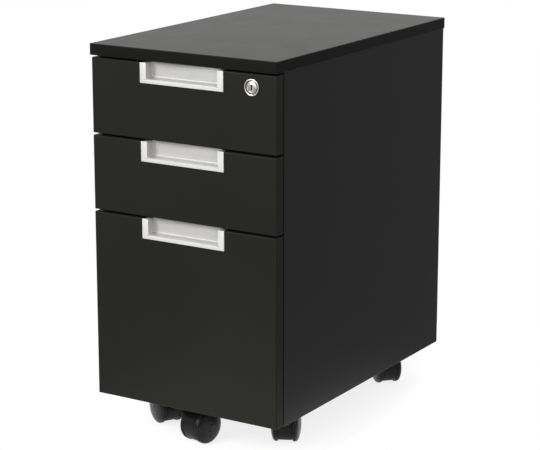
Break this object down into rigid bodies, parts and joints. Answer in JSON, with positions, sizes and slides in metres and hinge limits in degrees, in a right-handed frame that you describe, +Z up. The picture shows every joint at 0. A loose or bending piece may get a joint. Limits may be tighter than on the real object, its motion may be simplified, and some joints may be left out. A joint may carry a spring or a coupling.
{
  "type": "filing cabinet",
  "caption": "Black steel mobile filing pedestal with box and file drawers on slides, recessed pulls, a cam lock with gang bar, and swivelling twin-wheel casters.",
  "frame": {"origin": "on the floor, under the middle of the cabinet's box", "axes": "+X to the cabinet's right seen from the front, +Y to the back, +Z up"},
  "size_m": [0.3, 0.476, 0.56],
  "materials": {
    "powder_coat": "fine textured powder coat, near black, slightly warm",
    "inner_coat": "smooth satin black paint",
    "zinc": "bright zinc plate",
    "fastener": "dull zinc plate",
    "pull_plastic": "pale grey satin moulded plastic",
    "guide_plastic": "natural nylon",
    "buffer_rubber": "soft black rubber",
    "lock_chrome": "polished nickel",
    "caster_plastic": "black moulded nylon",
    "wheel_tread": "smooth black nylon wheel",
    "axle_steel": "plain steel"
  },
  "bodies": {
    "cabinet": {"back_panel": "powder_coat", "back_screws": "fastener", "base_panel": "powder_coat", "caster_plates": "zinc", "caster_screws": "fastener", "drawer_1_outer_slides": "zinc", "drawer_2_outer_slides": "zinc", "drawer_buffers": "buffer_rubber", "file_drawer_outer_slides": "zinc", "front_top_rail": "powder_coat", "left_side_panel": "powder_coat", "lock_bar_guides": "guide_plastic", "right_side_panel": "powder_coat", "slide_uprights": "inner_coat", "top_panel": "powder_coat"},
    "drawer_1": {"drawer_1_front": "powder_coat", "drawer_1_front_screws": "fastener", "drawer_1_inner_slides": "zinc", "drawer_1_pull": "pull_plastic", "drawer_1_tub": "inner_coat", "lock_barrel": "lock_chrome", "lock_nut": "zinc"},
    "drawer_2": {"drawer_2_front": "powder_coat", "drawer_2_front_screws": "fastener", "drawer_2_inner_slides": "zinc", "drawer_2_pull": "pull_plastic", "drawer_2_tub": "inner_coat"},
    "file_drawer": {"file_drawer_front": "powder_coat", "file_drawer_front_screws": "fastener", "file_drawer_inner_slides": "zinc", "file_drawer_pull": "pull_plastic", "file_drawer_tub": "inner_coat", "file_hanging_rails": "inner_coat", "file_caster_bracket": "inner_coat", "file_caster_plate": "zinc", "file_caster_screws": "fastener"},
    "file_slide_middles": {"file_drawer_middle_slides": "zinc"},
    "lock": {"lock_plug": "lock_chrome", "lock_cam": "zinc"},
    "lock_bar": {"lock_bar": "zinc"},
    "front_left_caster_swivel": {"front_left_caster_hood": "caster_plastic", "front_left_caster_axle": "axle_steel"},
    "front_left_caster_left_wheel": {"front_left_caster_left_wheel": "wheel_tread"},
    "front_left_caster_right_wheel": {"front_left_caster_right_wheel": "wheel_tread"},
    "front_right_caster_swivel": {"front_right_caster_hood": "caster_plastic", "front_right_caster_axle": "axle_steel"},
    "front_right_caster_left_wheel": {"front_right_caster_left_wheel": "wheel_tread"},
    "front_right_caster_right_wheel": {"front_right_caster_right_wheel": "wheel_tread"},
    "rear_left_caster_swivel": {"rear_left_caster_hood": "caster_plastic", "rear_left_caster_axle": "axle_steel"},
    "rear_left_caster_left_wheel": {"rear_left_caster_left_wheel": "wheel_tread"},
    "rear_left_caster_right_wheel": {"rear_left_caster_right_wheel": "wheel_tread"},
    "rear_right_caster_swivel": {"rear_right_caster_hood": "caster_plastic", "rear_right_caster_axle": "axle_steel"},
    "rear_right_caster_left_wheel": {"rear_right_caster_left_wheel": "wheel_tread"},
    "rear_right_caster_right_wheel": {"rear_right_caster_right_wheel": "wheel_tread"},
    "file_caster_swivel": {"file_caster_hood": "caster_plastic", "file_caster_axle": "axle_steel"},
    "file_caster_left_wheel": {"file_caster_left_wheel": "wheel_tread"},
    "file_caster_right_wheel": {"file_caster_right_wheel": "wheel_tread"}
  },
  "joints": [
    {"name": "drawer_1_slide", "type": "slide", "parent": "cabinet", "child": "drawer_1", "axis": [0, -1, 0], "range_m": [0, 0.3]},
    {"name": "drawer_2_slide", "type": "slide", "parent": "cabinet", "child": "drawer_2", "axis": [0, -1, 0], "range_m": [0, 0.3]},
    {"name": "file_drawer_slide", "type": "slide", "parent": "cabinet", "child": "file_drawer", "axis": [0, -1, 0], "range_m": [0, 0.4]},
    {"name": "file_middle_slide", "type": "slide", "parent": "cabinet", "child": "file_slide_middles", "axis": [0, -1, 0], "range_m": [0, 0.2]},
    {"name": "lock_turn", "type": "hinge", "parent": "drawer_1", "child": "lock", "pos_m": [0.111, -0.22, 0.523], "axis": [0, -1, 0], "range_deg": [0, 90]},
    {"name": "lock_bar_lift", "type": "slide", "parent": "cabinet", "child": "lock_bar", "axis": [0, 0, 1], "range_m": [0, 0.008]},
    {"name": "front_left_caster_swivel_turn", "type": "hinge", "parent": "cabinet", "child": "front_left_caster_swivel", "pos_m": [-0.105, -0.142, 0.045], "axis": [0, 0, 1], "continuous": true},
    {"name": "front_left_caster_left_wheel_spin", "type": "hinge", "parent": "front_left_caster_swivel", "child": "front_left_caster_left_wheel", "pos_m": [-0.08314, -0.13614, 0.025], "axis": [-0.5, -0.866, 0], "continuous": true},
    {"name": "front_left_caster_right_wheel_spin", "type": "hinge", "parent": "front_left_caster_swivel", "child": "front_left_caster_right_wheel", "pos_m": [-0.09914, -0.16386, 0.025], "axis": [-0.5, -0.866, 0], "continuous": true},
    {"name": "front_right_caster_swivel_turn", "type": "hinge", "parent": "cabinet", "child": "front_right_caster_swivel", "pos_m": [0.105, -0.142, 0.045], "axis": [0, 0, 1], "continuous": true},
    {"name": "front_right_caster_left_wheel_spin", "type": "hinge", "parent": "front_right_caster_swivel", "child": "front_right_caster_left_wheel", "pos_m": [0.0836, -0.13463, 0.025], "axis": [0.8988, 0.4384, 0], "continuous": true},
    {"name": "front_right_caster_right_wheel_spin", "type": "hinge", "parent": "front_right_caster_swivel", "child": "front_right_caster_right_wheel", "pos_m": [0.11237, -0.12061, 0.025], "axis": [0.8988, 0.4384, 0], "continuous": true},
    {"name": "rear_left_caster_swivel_turn", "type": "hinge", "parent": "cabinet", "child": "rear_left_caster_swivel", "pos_m": [-0.105, 0.164, 0.045], "axis": [0, 0, 1], "continuous": true},
    {"name": "rear_left_caster_left_wheel_spin", "type": "hinge", "parent": "rear_left_caster_swivel", "child": "rear_left_caster_left_wheel", "pos_m": [-0.10697, 0.18654, 0.025], "axis": [0.766, -0.6428, 0], "continuous": true},
    {"name": "rear_left_caster_right_wheel_spin", "type": "hinge", "parent": "rear_left_caster_swivel", "child": "rear_left_caster_right_wheel", "pos_m": [-0.08246, 0.16597, 0.025], "axis": [0.766, -0.6428, 0], "continuous": true},
    {"name": "rear_right_caster_swivel_turn", "type": "hinge", "parent": "cabinet", "child": "rear_right_caster_swivel", "pos_m": [0.105, 0.164, 0.045], "axis": [0, 0, 1], "continuous": true},
    {"name": "rear_right_caster_left_wheel_spin", "type": "hinge", "parent": "rear_right_caster_swivel", "child": "rear_right_caster_left_wheel", "pos_m": [0.0824, 0.16282, 0.025], "axis": [0.6691, 0.7431, 0], "continuous": true},
    {"name": "rear_right_caster_right_wheel_spin", "type": "hinge", "parent": "rear_right_caster_swivel", "child": "rear_right_caster_right_wheel", "pos_m": [0.10382, 0.1866, 0.025], "axis": [0.6691, 0.7431, 0], "continuous": true},
    {"name": "file_caster_swivel_turn", "type": "hinge", "parent": "file_drawer", "child": "file_caster_swivel", "pos_m": [0, -0.177, 0.045], "axis": [0, 0, 1], "continuous": true},
    {"name": "file_caster_left_wheel_spin", "type": "hinge", "parent": "file_caster_swivel", "child": "file_caster_left_wheel", "pos_m": [0.01232, -0.19598, 0.025], "axis": [-0.9781, 0.2079, 0], "continuous": true},
    {"name": "file_caster_right_wheel_spin", "type": "hinge", "parent": "file_caster_swivel", "child": "file_caster_right_wheel", "pos_m": [-0.01898, -0.18932, 0.025], "axis": [-0.9781, 0.2079, 0], "continuous": true}
  ],
  "couplings": [
    {"joint": "file_middle_slide", "follows": "file_drawer_slide", "ratio": 0.5},
    {"joint": "lock_turn", "follows": "lock_bar_lift", "rad_per_m": 196.35}
  ]
}
